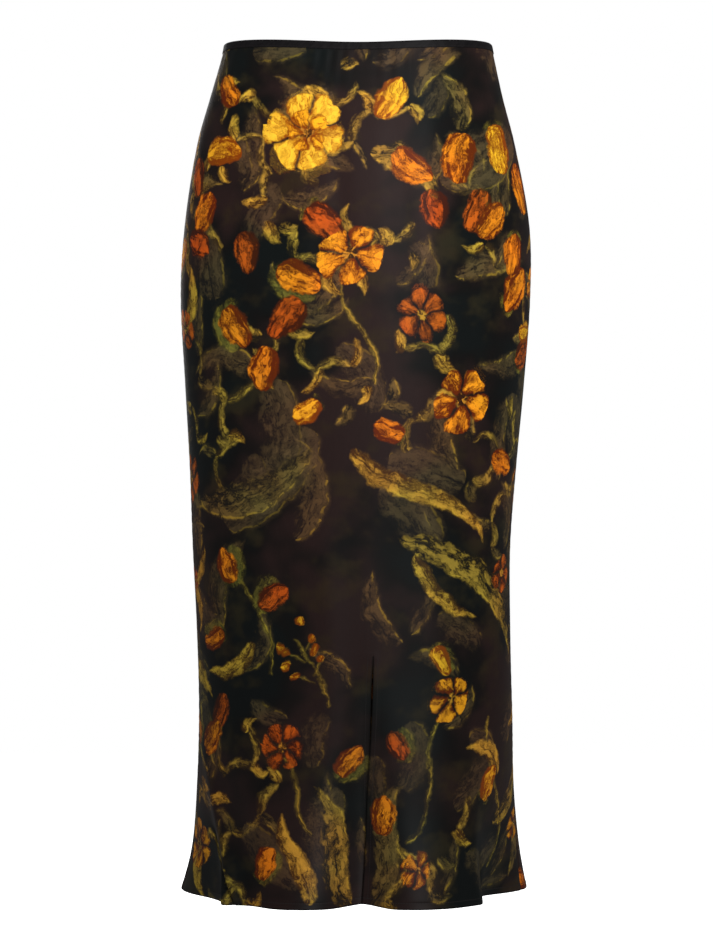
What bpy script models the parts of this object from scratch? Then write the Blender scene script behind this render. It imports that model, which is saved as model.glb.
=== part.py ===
"""Slip skirt in its worn form: a front panel with a slit, a back panel and a bound waist edge.

Metres, +Z up, the front faces -Y. The origin is the middle of the waist opening, level with the
top of the band over the side seams. Every height is a drop: a distance below the origin.
"""

import math
from collections import namedtuple

import bmesh
import bpy

MM = 0.001

# Cloth and seams
CLOTH_THICKNESS = 1.2 * MM
SEAM_GAP = 0.6 * MM

# Waist
FRONT_DIP = 7.0 * MM  # how far the waist line dips at centre front, against the side seams
BACK_DIP = 5.0 * MM
BAND_DEPTH = 7.8 * MM
BAND_WALL = 0.8 * MM
BAND_CLEARANCE = 0.8 * MM  # between the band's walls and the panel edge inside it
PANEL_TOP = 4.0 * MM  # drop of the panels' top edge, inside the band
BAND_ARC_STEPS = 4

# Slit in the front panel
SLIT_TOP = 596.0 * MM
SLIT_X_TOP = 19.0 * MM
SLIT_X_HEM = 6.5 * MM
SLIT_HALF_GAP = 0.4 * MM
SLIT_OVERLAP = 8.0 * MM  # how far the left edge runs behind the right one at the hem
SLIT_INSET = 4.0 * MM  # how far behind it lies
SLIT_SETTLE = 40.0 * MM  # length over which the inset grows, below the top of the slit
SLIT_LIFT = 3.5 * MM  # rise of the hem's corners at the slit
SLIT_REACH_DEG = 14.0  # how far round the inset, the overlap and the lift fade out

# Level sections of the skirt: drop, half width, depth in front of and behind the seams, and the
# sideways shift of the middle, all in millimetres. square is the exponent of the section's
# outline, for which 2 gives an ellipse and more gives squarer corners.
Section = namedtuple("Section", "name drop half_width front back shift square")
SECTIONS = [
    Section("band top", 0, 133.0, 91, 94, 1.5, 3.0),
    Section("band foot", 12, 135.5, 93, 97, 1.5, 2.9),
    Section("waist", 52, 146.0, 101, 105, 0.0, 2.6),
    Section("high hip", 98, 158.5, 110, 115, -0.5, 2.4),
    Section("hip", 178, 172.0, 118, 127, 0.5, 2.3),
    Section("seat", 248, 174.5, 120, 131, -1.0, 2.3),
    Section("thigh", 338, 169.0, 118, 125, -2.0, 2.3),
    Section("low thigh", 418, 163.0, 116, 119, -3.5, 2.3),
    Section("knee", 498, 158.5, 114, 116, -5.0, 2.3),
    Section("below knee", 578, 156.5, 114, 114, -3.0, 2.3),
    Section("calf", 658, 156.5, 116, 114, -1.0, 2.3),
    Section("low calf", 738, 160.5, 122, 117, -1.0, 2.3),
    Section("flare", 798, 167.5, 132, 120, 0.0, 2.3),
    Section("hem", 842, 178.0, 148, 127, -0.9, 2.3),
]
HEM_DROP = SECTIONS[-1].drop * MM

# Hanging folds: valleys that start at a drop and deepen to the hem, and ridges, whose depth is
# negative. Angles run from the +X seam at 0 through the back at 90, so the front is at -90.
# slant is how many degrees further round the fold would lie at its start than at the hem.
Fold = namedtuple("Fold", "name angle depth width start power slant")
FOLDS = [
    Fold("front right valley", -22, 46, 19, 640, 2.2, 0),
    Fold("front right ridge", -39, -7, 5.5, 640, 2.2, 0),
    Fold("front left valley", -156, 24, 19, 620, 2.2, -8),
    Fold("front left ridge", -140, -11, 4, 620, 2.2, -36),
    Fold("front left hollow", -131, 10, 8.5, 620, 2.2, -28),
    Fold("centre front", -89, 23, 14, 560, 1.7, 0),
    Fold("back right", 38, 20, 13, 600, 1.9, 0),
    Fold("back middle", 84, 12, 15, 660, 1.8, 0),
    Fold("back left", 136, 24, 13, 610, 2.0, 0),
]

# How many facets each stretch of the cloth has: round the front from the -X seam to the slit
# and on to the +X seam, round the back, and down from the band to the hem.
Span = namedtuple("Span", "end steps")
FRONT_LEFT_SPANS = [Span(-164, 3), Span(-138, 8), Span(-104, 6), Span(-90, 4)]
FRONT_RIGHT_SPANS = [Span(-76, 4), Span(-44, 6), Span(-8, 9), Span(0, 1)]
BACK_SPANS = [Span(20, 4), Span(56, 8), Span(116, 8), Span(156, 8), Span(180, 4)]
DROP_SPANS = [
    Span(12, 1),
    Span(98, 3),
    Span(338, 5),
    Span(SLIT_TOP / MM, 5),
    Span(738, 4),
    Span(HEM_DROP / MM, 6),
]

CLOTH_COLOUR = (0.018, 0.016, 0.018, 1.0)
BAND_COLOUR = (0.010, 0.010, 0.012, 1.0)
SATIN_ROUGHNESS = 0.42
BAND_ROUGHNESS = 0.55


def eased(value, start, end):
    """0 before start, 1 after end, and a smooth step between them."""
    share = min(1.0, max(0.0, (value - start) / (end - start)))
    return share * share * (3.0 - 2.0 * share)


def stations(first, spans):
    """The values from first through each span's end, each span cut into its own equal steps."""
    values = [float(first)]
    for span in spans:
        start = values[-1]
        values += [start + (span.end - start) * (i + 1) / span.steps for i in range(span.steps)]
    return values


def section_value(column, drop):
    """One column of SECTIONS in metres at any drop, on a smooth curve through the rows."""
    rows = [(row.drop * MM, getattr(row, column) * MM) for row in SECTIONS]
    drop = min(max(drop, rows[0][0]), rows[-1][0])
    last = len(rows) - 2
    i = next((k for k in range(last + 1) if drop <= rows[k + 1][0]), last)
    (d0, v0), (d1, v1) = rows[i], rows[i + 1]

    def slope(k):
        if k in (0, len(rows) - 1):
            a, b = (0, 1) if k == 0 else (-2, -1)
        else:
            a, b = k - 1, k + 1
        return (rows[b][1] - rows[a][1]) / (rows[b][0] - rows[a][0])

    length = d1 - d0
    t = (drop - d0) / length
    return (
        v0 * (2 * t**3 - 3 * t**2 + 1)
        + slope(i) * length * (t**3 - 2 * t**2 + t)
        + v1 * (3 * t**2 - 2 * t**3)
        + slope(i + 1) * length * (t**3 - t**2)
    )


def fold_depth(angle, drop):
    """How far the folds take the cloth inwards."""
    depth = 0.0
    for fold in FOLDS:
        grown = max(0.0, (drop - fold.start * MM) / (HEM_DROP - fold.start * MM))
        off_line = angle - fold.angle - fold.slant * (1.0 - grown)
        across = ((off_line + 180.0) % 360.0 - 180.0) / fold.width
        depth += fold.depth * MM * grown**fold.power * math.exp(-across * across)
    return depth


def cloth_radius(angle, drop):
    """Distance of the cloth's outer face from the middle of its section."""
    turn = math.radians(angle)
    across = abs(math.cos(turn)) / section_value("half_width", drop)
    depth = section_value("front" if angle < 0 else "back", drop)
    along = abs(math.sin(turn)) / depth
    n = section_value("square", drop) / MM
    return (across**n + along**n) ** (-1.0 / n) - fold_depth(angle, drop)


def cloth_point(angle, drop, outward=0.0):
    """A point of the cloth's outer face, or that far outside it."""
    turn = math.radians(angle)
    radius = cloth_radius(angle, drop) + outward
    shift = section_value("shift", drop)
    return (shift + radius * math.cos(turn), radius * math.sin(turn), -drop)


def waist_dip(angle):
    """How far the waist line lies below its height at the side seams."""
    return (FRONT_DIP if angle < 0 else BACK_DIP) * math.sin(math.radians(angle)) ** 2


def dropped(angle, side_drop, lift=0.0):
    """The drop at an angle of the line that has side_drop at the side seams."""
    share = 1.0 - side_drop / HEM_DROP
    return side_drop + waist_dip(angle) * share - lift * side_drop / HEM_DROP


def slit_angle(side_drop):
    """Direction of the slit's line, which goes on straight up from the slit's top."""
    below = max(0.0, side_drop - SLIT_TOP) / (HEM_DROP - SLIT_TOP)
    x = SLIT_X_TOP + (SLIT_X_HEM - SLIT_X_TOP) * below
    return -math.degrees(math.atan2(section_value("front", side_drop), x))


def front_point(station, side_drop, side):
    """A point of the front panel. station is the angle with the slit's line at -90, and side is
    -1 on the slit's left part, which runs behind, and +1 on its right part."""
    seam = -180.0 if station < -90 or (station == -90 and side < 0) else 0.0
    share = (station - seam) / (-90.0 - seam)
    angle = seam + (slit_angle(side_drop) - seam) * share
    near = eased(SLIT_REACH_DEG - abs(station + 90.0), 0.0, SLIT_REACH_DEG)
    below = eased(side_drop, SLIT_TOP + SLIT_SETTLE, HEM_DROP)
    open_slit = eased(side_drop, SLIT_TOP, SLIT_TOP + SLIT_SETTLE)
    lift = SLIT_LIFT * near * below
    sideways = side * SLIT_HALF_GAP * near * open_slit
    outward = 0.0
    if side < 0:
        sideways += (SLIT_OVERLAP + SLIT_HALF_GAP) * near * below
        outward = -SLIT_INSET * near * open_slit
    x, y, z = cloth_point(angle, dropped(angle, side_drop, lift), outward)
    return (x + sideways, y, z)


def seam_margin():
    """Half the seam's gap as an angle, where the cloth is narrowest."""
    return math.degrees(SEAM_GAP / 2 / section_value("half_width", 0.0))


def grid_surface(bm, rows):
    """Quads between rows of points. Equal points of two grids are merged afterwards."""
    verts = [[bm.verts.new(point) for point in row] for row in rows]
    for upper, lower in zip(verts, verts[1:]):
        for k in range(len(upper) - 1):
            bm.faces.new((upper[k], lower[k], lower[k + 1], upper[k + 1]))
    return verts


def shell_object(name, bm, thickness, material, collection):
    """An object from an open surface that faces out, with its wall made inwards by Solidify."""
    mesh = bpy.data.meshes.new(name)
    bm.to_mesh(mesh)
    bm.free()
    mesh.materials.append(material)
    obj = bpy.data.objects.new(name, mesh)
    collection.objects.link(obj)
    wall = obj.modifiers.new("Wall", "SOLIDIFY")
    wall.thickness = thickness
    wall.offset = -1.0
    wall.use_even_offset = True
    return obj


def front_panel(material, collection):
    """The front, in one piece above the slit and in two parts beside it."""
    bm = bmesh.new()
    drops = [drop * MM for drop in stations(PANEL_TOP / MM, DROP_SPANS)]
    margin = seam_margin()
    left = stations(-180.0, FRONT_LEFT_SPANS)
    right = stations(-90.0, FRONT_RIGHT_SPANS)
    left[0] += margin
    right[-1] -= margin
    grid_surface(bm, [[front_point(s, drop, -1) for s in left] for drop in drops])
    grid_surface(bm, [[front_point(s, drop, 1) for s in right] for drop in drops])
    bmesh.ops.remove_doubles(bm, verts=bm.verts, dist=SLIT_HALF_GAP / 8)
    return shell_object("front_panel", bm, CLOTH_THICKNESS, material, collection)


def back_panel(material, collection):
    bm = bmesh.new()
    drops = [drop * MM for drop in stations(PANEL_TOP / MM, DROP_SPANS)]
    margin = seam_margin()
    angles = stations(0.0, BACK_SPANS)
    angles[0] += margin
    angles[-1] -= margin
    rows = [[cloth_point(a, dropped(a, drop)) for a in angles] for drop in drops]
    grid_surface(bm, rows)
    return shell_object("back_panel", bm, CLOTH_THICKNESS, material, collection)


def band_profile():
    """(outward, drop) of the band's outer skin: up its outside, over and down its inside."""
    outside = BAND_CLEARANCE + BAND_WALL
    inside = -(CLOTH_THICKNESS + BAND_CLEARANCE + BAND_WALL)
    middle, radius = (outside + inside) / 2, (outside - inside) / 2
    points = [(outside, BAND_DEPTH)]
    for i in range(BAND_ARC_STEPS + 1):
        turn = math.pi * i / BAND_ARC_STEPS
        points.append((middle + radius * math.cos(turn), radius * (1.0 - math.sin(turn))))
    points.append((inside, BAND_DEPTH))
    return points


def waist_band(material, collection):
    """A strip folded over the panels' top edge, closed into a ring."""
    bm = bmesh.new()
    angles = stations(-180.0, FRONT_LEFT_SPANS + FRONT_RIGHT_SPANS + BACK_SPANS)
    rows = []
    for outward, drop in reversed(band_profile()):
        rows.append([cloth_point(a, dropped(a, drop), outward) for a in angles])
    grid_surface(bm, rows)
    bmesh.ops.remove_doubles(bm, verts=bm.verts, dist=SEAM_GAP / 8)
    return shell_object("waist_band", bm, BAND_WALL, material, collection)


def satin(name, colour, roughness):
    """A plain dark satin."""
    material = bpy.data.materials.new(name)
    material.use_nodes = True
    shader = material.node_tree.nodes["Principled BSDF"]
    shader.inputs["Base Color"].default_value = colour
    shader.inputs["Roughness"].default_value = roughness
    shader.inputs["Metallic"].default_value = 0.0
    material.diffuse_color = colour
    return material


def clear_scene():
    for obj in list(bpy.data.objects):
        bpy.data.objects.remove(obj)


def build():
    clear_scene()
    skirt = bpy.data.collections.new("slip_skirt")
    bpy.context.scene.collection.children.link(skirt)
    cloth = satin("printed_satin", CLOTH_COLOUR, SATIN_ROUGHNESS)
    band = satin("black_binding", BAND_COLOUR, BAND_ROUGHNESS)
    front_panel(cloth, skirt)
    back_panel(cloth, skirt)
    waist_band(band, skirt)


build()
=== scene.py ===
"""The looks of the slip skirt: printed satin panels, a black waist binding, camera and light.

Metres and the frame's axes: +Z up, the front faces -Y, the origin at the waist. The print is laid
out in millimetres on each panel's own flat cloth: u across from its middle, v down from the waist.
"""

import random
from collections import namedtuple
from functools import partial, partialmethod
from math import cos, degrees, dist, pi, radians, sin

import bpy
import numpy as np
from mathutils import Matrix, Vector


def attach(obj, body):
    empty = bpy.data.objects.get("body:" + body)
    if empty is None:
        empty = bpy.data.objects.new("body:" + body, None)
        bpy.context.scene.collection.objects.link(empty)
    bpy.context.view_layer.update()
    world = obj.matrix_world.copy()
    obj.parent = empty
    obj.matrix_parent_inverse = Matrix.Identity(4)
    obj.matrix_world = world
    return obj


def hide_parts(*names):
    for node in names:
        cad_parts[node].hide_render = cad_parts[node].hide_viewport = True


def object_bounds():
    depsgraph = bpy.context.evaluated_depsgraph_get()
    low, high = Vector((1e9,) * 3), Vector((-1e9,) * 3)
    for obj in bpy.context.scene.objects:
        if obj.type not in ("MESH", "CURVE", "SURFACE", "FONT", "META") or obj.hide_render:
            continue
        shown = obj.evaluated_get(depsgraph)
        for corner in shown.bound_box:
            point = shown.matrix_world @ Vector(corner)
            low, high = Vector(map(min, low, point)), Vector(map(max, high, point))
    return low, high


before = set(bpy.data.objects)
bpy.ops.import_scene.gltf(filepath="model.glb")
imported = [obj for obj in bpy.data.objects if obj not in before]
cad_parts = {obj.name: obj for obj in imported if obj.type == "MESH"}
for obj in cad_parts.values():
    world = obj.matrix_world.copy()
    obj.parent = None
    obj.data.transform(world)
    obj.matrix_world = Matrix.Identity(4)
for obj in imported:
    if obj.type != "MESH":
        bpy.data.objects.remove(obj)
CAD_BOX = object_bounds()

MM = 0.001

# ---- Sizes: the solids' own, but the cloth is thinner, the panels meet at their seams and the
# binding sits tighter

CLOTH_THICKNESS = 1.0 * MM
SEAM_GAP = 0.04 * MM
FRONT_DIP = 7.0 * MM  # how far the waistline dips at centre front, against the side seams
BACK_DIP = 5.0 * MM
BAND_DEPTH = 7.6 * MM
BAND_WALL = 0.55 * MM
BAND_CLEARANCE = 0.15 * MM
PANEL_TOP = 4.0 * MM  # the drop of the panels' top edge, inside the binding

SLIT_TOP = 596.0 * MM
SLIT_X_TOP = 19.0 * MM
SLIT_X_HEM = 6.5 * MM
SLIT_HALF_GAP = 0.4 * MM
SLIT_OVERLAP = 8.0 * MM  # how far the left edge runs behind the right one at the hem
SLIT_INSET = 4.0 * MM  # how far behind it lies
SLIT_SETTLE = 40.0 * MM  # the length over which the inset grows
SLIT_LIFT = 3.5 * MM  # the rise of the hem's corners at the slit
SLIT_REACH_DEG = 14.0  # how far round the inset, the overlap and the lift fade out

Section = namedtuple("Section", "drop half_width front back shift square")
# square is the exponent of the section's outline: 2 gives an ellipse, more gives squarer corners.
SECTIONS = [
    Section(0, 133.0, 91, 94, 1.5, 3.0),  # band top
    Section(12, 135.5, 93, 97, 1.5, 2.9),  # band foot
    Section(52, 146.0, 101, 105, 0.0, 2.6),  # waist
    Section(98, 158.5, 110, 115, -0.5, 2.4),  # high hip
    Section(178, 172.0, 118, 127, 0.5, 2.3),  # hip
    Section(248, 174.5, 120, 131, -1.0, 2.3),  # seat
    Section(338, 169.0, 118, 125, -2.0, 2.3),  # thigh
    Section(418, 163.0, 116, 119, -3.5, 2.3),  # low thigh
    Section(498, 158.5, 114, 116, -5.0, 2.3),  # knee
    Section(578, 156.5, 114, 114, -3.0, 2.3),  # below knee
    Section(658, 156.5, 116, 114, -1.0, 2.3),  # calf
    Section(738, 160.5, 122, 117, -1.0, 2.3),  # low calf
    Section(798, 167.5, 132, 120, 0.0, 2.3),  # flare
    Section(842, 178.0, 148, 127, -0.9, 2.3),  # hem
]
HEM_DROP = SECTIONS[-1].drop * MM

# The hanging folds: valleys that deepen to the hem, and ridges, whose depth is negative. slant is
# how many degrees further round a fold would lie at its start than at the hem.
Fold = namedtuple("Fold", "angle depth width start power slant")
FOLDS = [
    Fold(-22, 46, 19, 640, 2.2, 0),  # front right valley
    Fold(-39, -7, 5.5, 640, 2.2, 0),  # front right ridge
    Fold(-156, 24, 19, 620, 2.2, -8),  # front left valley
    Fold(-140, -11, 4, 620, 2.2, -36),  # front left ridge
    Fold(-131, 10, 8.5, 620, 2.2, -28),  # front left hollow
    Fold(-89, 23, 14, 560, 1.7, 0),  # centre front
    Fold(38, 20, 13, 600, 1.9, 0),  # back right
    Fold(84, 12, 15, 660, 1.8, 0),  # back middle
    Fold(136, 24, 13, 610, 2.0, 0),  # back left
]

# Soft creases, given one by one: a line from one angle and drop to another, its half width and its
# height, which is negative for a trough, in millimetres.
Crease = namedtuple("Crease", "angle_a drop_a angle_b drop_b width height")
CREASES = [
    Crease(-140, 30, -118, 300, 16, -1.3),
    Crease(-118, 60, -108, 420, 13, 0.9),
    Crease(-101, 24, -97, 230, 12, -0.8),
    Crease(-72, 40, -66, 330, 14, -1.1),
    Crease(-52, 20, -60, 260, 15, 1.0),
    Crease(-34, 60, -44, 390, 17, -1.4),
    Crease(-128, 380, -122, 640, 20, -1.8),
    Crease(-104, 430, -99, 800, 18, 1.5),
    Crease(-160, 765, -130, 870, 2.6, -6.5),
    Crease(-64, 400, -70, 700, 20, -1.6),
    Crease(-46, 470, -50, 842, 22, 2.0),
    Crease(30, 40, 40, 360, 16, -1.3),
    Crease(62, 30, 58, 280, 14, 0.9),
    Crease(90, 70, 92, 420, 18, -1.5),
    Crease(118, 30, 112, 300, 14, -1.0),
    Crease(146, 60, 138, 380, 16, 1.1),
    Crease(52, 420, 60, 800, 20, 2.0),
    Crease(108, 440, 104, 842, 20, 2.0),
]
CREASE_RADIUS = 140.0  # from the skirt's axis, near enough to turn degrees into millimetres
CREASE_FADE = 0.35  # the share of a crease's length over which it grows or fades

# The fine grid: columns from a side seam to the middle, rows above and beside the slit, and how
# far from an edge its extra lines lie, in degrees beside a seam or slit and in millimetres at a hem.
QUARTER_COLUMNS = 68
ROWS_ABOVE_SLIT = 172
ROWS_BESIDE_SLIT = 68
EDGE_LINES_DEG = (0.16, 0.45, 0.9, 1.6)
HEM_LINES = (0.5, 1.3, 2.4, 4.0, 5.6, 7.0, 8.2)
# more columns where the left front fold's sharp crease runs: first and last angle, and how many
CREASE_COLUMNS = (-160.0, -137.0, 26)


def eased(value, start, end):
    share = np.clip((value - start) / (end - start), 0.0, 1.0)
    return share * share * (3.0 - 2.0 * share)


def section_value(column, drop):
    """One column of SECTIONS in metres at any drop, on a smooth curve through the rows."""
    drops = np.array([row.drop for row in SECTIONS]) * MM
    values = np.array([getattr(row, column) for row in SECTIONS]) * MM
    around = np.pad([values, drops], ((0, 0), (1, 1)), mode="edge")
    rise, run = around[:, 2:] - around[:, :-2]
    slopes = rise / run
    drop = np.clip(drop, drops[0], drops[-1])
    i = np.clip(np.searchsorted(drops, drop, side="right") - 1, 0, len(drops) - 2)
    length = drops[i + 1] - drops[i]
    t = (drop - drops[i]) / length
    return (
        values[i] * (2 * t**3 - 3 * t**2 + 1)
        + slopes[i] * length * (t**3 - 2 * t**2 + t)
        + values[i + 1] * (3 * t**2 - 2 * t**3)
        + slopes[i + 1] * length * (t**3 - t**2)
    )


def relief(angle, drop):
    """How far the folds and creases move the cloth out."""
    out = np.zeros(np.broadcast(angle, drop).shape)
    for fold in FOLDS:
        grown = np.clip((drop - fold.start * MM) / (HEM_DROP - fold.start * MM), 0, None)
        off_line = angle - fold.angle - fold.slant * (1.0 - grown)
        across = ((off_line + 180.0) % 360.0 - 180.0) / fold.width
        out -= fold.depth * MM * grown**fold.power * np.exp(-across * across)
    for crease in CREASES:
        along = (drop / MM - crease.drop_a) / (crease.drop_b - crease.drop_a)
        line = crease.angle_a + (crease.angle_b - crease.angle_a) * along
        across = np.radians(angle - line) * CREASE_RADIUS / crease.width
        ends = eased(along, 0.0, CREASE_FADE) * eased(1.0 - along, -0.01, CREASE_FADE)
        out += crease.height * MM * ends * np.exp(-across * across)
    return out


def cloth_point(angle, drop, outward):
    """Points of the cloth's outer face, moved out by outward."""
    angle, drop = np.broadcast_arrays(angle, drop)
    turn = np.radians(angle)
    n = section_value("square", drop) / MM
    across = np.abs(np.cos(turn)) / section_value("half_width", drop)
    depth = np.where(turn < 0, section_value("front", drop), section_value("back", drop))
    along = np.abs(np.sin(turn)) / depth
    radius = (across**n + along**n) ** (-1.0 / n) + relief(angle, drop) + outward
    x = section_value("shift", drop) + radius * np.cos(turn)
    return np.stack([x, radius * np.sin(turn), -drop], axis=-1)


def dropped(angle, side_drop, lift=0.0):
    """The drop at an angle of the line that has side_drop at the side seams."""
    dip = np.where(angle < 0, FRONT_DIP, BACK_DIP) * np.sin(np.radians(angle)) ** 2
    return side_drop + dip * (1.0 - side_drop / HEM_DROP) - lift * side_drop / HEM_DROP


def slit_angle(side_drop):
    below = np.clip(side_drop - SLIT_TOP, 0.0, None) / (HEM_DROP - SLIT_TOP)
    x = SLIT_X_TOP + (SLIT_X_HEM - SLIT_X_TOP) * below
    return -np.degrees(np.arctan2(section_value("front", side_drop), x))


def front_point(station, side_drop, side, outward):
    """Points of the front panel, moved out by outward. station is the angle with the slit's line
    at -90, and side is -1 on the slit's left part, which runs behind, and +1 on its right part."""
    seam = -180.0 if side < 0 else 0.0
    share = (station - seam) / (-90.0 - seam)
    angle = seam + (slit_angle(side_drop) - seam) * share
    near = eased(SLIT_REACH_DEG - np.abs(station + 90.0), 0.0, SLIT_REACH_DEG)
    below = eased(side_drop, SLIT_TOP + SLIT_SETTLE, HEM_DROP)
    open_slit = eased(side_drop, SLIT_TOP, SLIT_TOP + SLIT_SETTLE)
    sideways = side * SLIT_HALF_GAP * near * open_slit
    if side < 0:
        sideways = sideways + (SLIT_OVERLAP + SLIT_HALF_GAP) * near * below
        outward = outward - SLIT_INSET * near * open_slit
    points = cloth_point(angle, dropped(angle, side_drop, SLIT_LIFT * near * below), outward)
    points[..., 0] += sideways
    return points


# ---- Panels as fine grids

HEM_WIDTH = 7.0  # the turned hems at the bottom and down the slit, in millimetres
HEM_SWELL = 0.4 * MM
SLIT_SWELL = 0.7  # as a share of the hem's
SEAM_SINK = 0.9 * MM
SEAM_SPREAD = 1.7
PUCKER = 0.26 * MM
PUCKER_REACH = 10.0
PUCKER_WAVE = (0.56, 1.7, 0.083)  # pitch, wander and the wander's own pitch, as in wavy
WAIST_EASE = 0.65 * MM  # how deep the fullness eased into the waist binding ripples below it
WAIST_EASE_START = (6.0, 13.0)
WAIST_EASE_REACH = 20.0
WAIST_WAVE = (0.93, 2.0, 0.11)
FAR = 1000.0  # stands for no edge nearby, in millimetres
ARC_PER_DEGREE = 2.6  # millimetres round the skirt for a degree, near enough for the edges


def row_drops():
    """Drops of the rows above the slit's top, and of those below it."""
    above = np.linspace(PANEL_TOP, SLIT_TOP, ROWS_ABOVE_SLIT + 1)
    beside = np.linspace(SLIT_TOP, HEM_DROP, ROWS_BESIDE_SLIT + 1)
    fine = HEM_DROP - np.array(HEM_LINES) * MM
    return above, np.sort(np.concatenate([beside[1:], fine]))


def station_columns(start, end):
    """Angles from start to end, with the extra lines beside both."""
    lines = np.array(EDGE_LINES_DEG)
    even = np.linspace(start, end, QUARTER_COLUMNS + 1)
    crease = np.linspace(*CREASE_COLUMNS) if start < CREASE_COLUMNS[0] else []
    return np.sort(np.concatenate([even, start + lines, end - lines, crease]))


def wavy(place, pitch, wander, slow):
    """A wave whose pitch wanders."""
    return np.sin(place * pitch + wander * np.sin(place * slow))


def worked_edges(angle, drop, seam, slit, hem):
    """How far the sewing moves the cloth out. seam, slit and hem are distances in millimetres."""
    along = drop / MM
    out = -SEAM_SINK * np.exp(-((seam / SEAM_SPREAD) ** 2))
    wave = wavy(along, *PUCKER_WAVE) * (0.6 + 0.4 * np.sin(along * 0.031))
    out += PUCKER * np.exp(-seam / PUCKER_REACH) * wave * eased(seam, 0.5, 3.0)
    turned, beside = (eased(HEM_WIDTH + 0.9 - edge, 0.0, 1.4) for edge in (hem, slit))
    out += HEM_SWELL * (turned - 1.4 * eased(0.8 - hem, 0.0, 0.8))
    out += SLIT_SWELL * HEM_SWELL * beside
    ripple = wavy(angle, *WAIST_WAVE) * np.sin(angle * 0.071 + 0.6)
    out += WAIST_EASE * eased(along, *WAIST_EASE_START) * np.exp(-along / WAIST_EASE_REACH) * ripple
    return out


def flat_across(points, middle):
    """Distance along each row from its middle column, in millimetres."""
    steps = np.linalg.norm(np.diff(points, axis=1), axis=2)
    along = np.concatenate([np.zeros((len(points), 1)), np.cumsum(steps, axis=1)], axis=1)
    return (along - along[:, [middle]]) / MM


def quads(index):
    """The four corners of each face of a grid of points' numbers."""
    corners = (index[:-1, :-1], index[1:, :-1], index[1:, 1:], index[:-1, 1:])
    return np.stack(corners, axis=-1).reshape(-1, 4)


def seam_margin():
    """Half the gap at a seam, as an angle."""
    return degrees(SEAM_GAP / 2 / float(section_value("half_width", np.array(0.0))))


# A panel's outer face: points, flat places (u, v), distances to what is sewn (seam, slit, hem),
# and the four corners of each face.
Grid = namedtuple("Grid", "points flat sewn faces")


def grid_part(angle, drops, seam, slit, middle, point_at, first=0):
    """Points, flat places, distances to what is sewn, and the points' numbers from first on.
    point_at says where the points lie that are moved out that far; middle is the column at u 0."""
    hem = (HEM_DROP - drops) / MM + 0 * angle
    sewn = [edge + 0 * hem for edge in (seam * ARC_PER_DEGREE, slit, hem)]
    points = point_at(worked_edges(angle, drops, *sewn))
    flat = np.stack([flat_across(points, middle), drops / MM + 0 * hem], -1)
    index = np.arange(first, first + hem.size).reshape(hem.shape)
    return [points, flat, np.stack(sewn, -1), index]


def joined(parts):
    """One Grid from (points, flat, sewn, index) of each part, with shared points kept once."""
    count = max(part[3].max() for part in parts) + 1
    columns = [np.zeros((count, size)) for size in (3, 2, 3)]
    for part in parts:
        for whole, values in zip(columns, part):
            whole[part[3]] = values
    faces = np.concatenate([quads(part[3]) for part in parts])
    used, places = np.unique(faces, return_inverse=True)
    return Grid(*(whole[used] for whole in columns), places.reshape(faces.shape))


def front_grid():
    above, beside = row_drops()
    drops = np.concatenate([above, beside])[:, None]
    parts = []
    for side, start, end in ((-1, -180.0 + seam_margin(), -90.0), (1, -90.0, -seam_margin())):
        station = station_columns(start, end)[None, :]
        seam = np.abs(station + 90.0 * (1 - side))
        slit = np.where(drops > SLIT_TOP, np.abs(station + 90.0) * ARC_PER_DEGREE, FAR)
        first = parts[0][3].size if parts else 0
        point_at = partial(front_point, station, drops, side)
        parts.append(grid_part(station, drops, seam, slit, min(side, 0), point_at, first))
    parts[1][3][: len(above), 0] = parts[0][3][: len(above), -1]
    return joined(parts)


def back_grid():
    drops = np.concatenate(row_drops())[:, None]
    half = station_columns(seam_margin(), 90.0)
    angle = np.concatenate([half, 180.0 - half[-2::-1]])[None, :]
    seam = 90.0 - np.abs(angle - 90.0)
    point_at = partial(cloth_point, angle, dropped(angle, drops))
    return joined([grid_part(angle, drops, seam, FAR, len(half) - 1, point_at)])


def add_object(name, data):
    obj = bpy.data.objects.new(name, data)
    bpy.context.scene.collection.objects.link(obj)
    return obj


def mesh_object(name, points, faces, materials):
    mesh = bpy.data.meshes.new(name)
    mesh.from_pydata(points.tolist(), [], faces.tolist())
    mesh.shade_smooth()
    for material in materials:
        mesh.materials.append(material)
    return add_object(name, mesh)


def give_attribute(mesh, name, domain, values):
    """A vector attribute; values has one row of three for each face, corner or point."""
    made = mesh.attributes.new(name, "FLOAT_VECTOR", domain)
    made.data.foreach_set("vector", np.ascontiguousarray(values, np.float32).ravel())


def rim_edges(faces):
    """The pairs of points round the open edge, in the order in which their face has them."""
    pairs = np.stack([faces, np.roll(faces, -1, axis=1)], axis=-1).reshape(-1, 2)
    key = np.sort(pairs, axis=1)
    _, inverse, counts = np.unique(key, axis=0, return_inverse=True, return_counts=True)
    return pairs[counts[inverse.reshape(-1)] == 1]


def point_normals(points, faces):
    """Smooth normals, in numpy, for the outer face of a shell."""
    a, b, c, d = (points[faces[:, k]] for k in range(4))
    across = np.cross(c - a, d - b)
    normals = np.zeros_like(points)
    for k in range(4):
        np.add.at(normals, faces[:, k], across)
    return normals / np.linalg.norm(normals, axis=1)[:, None]


# Where the two faces of a panel lie on its own flat map: left, bottom, width and height.
OUTER_PATCH = (0.01, 0.01, 0.64, 0.98)
INNER_PATCH = (0.67, 0.01, 0.32, 0.49)
FLAT_HALF_WIDTH = 250.0


def flat_map(flat, patch):
    """Places on the flat map for corners with these flat places."""
    left, bottom, width, height = patch
    across = (flat[..., 0] / FLAT_HALF_WIDTH + 1) / 2
    up = 1 - flat[..., 1] / (HEM_DROP / MM)
    return np.stack([left + across * width, bottom + up * height], axis=-1)


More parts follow.
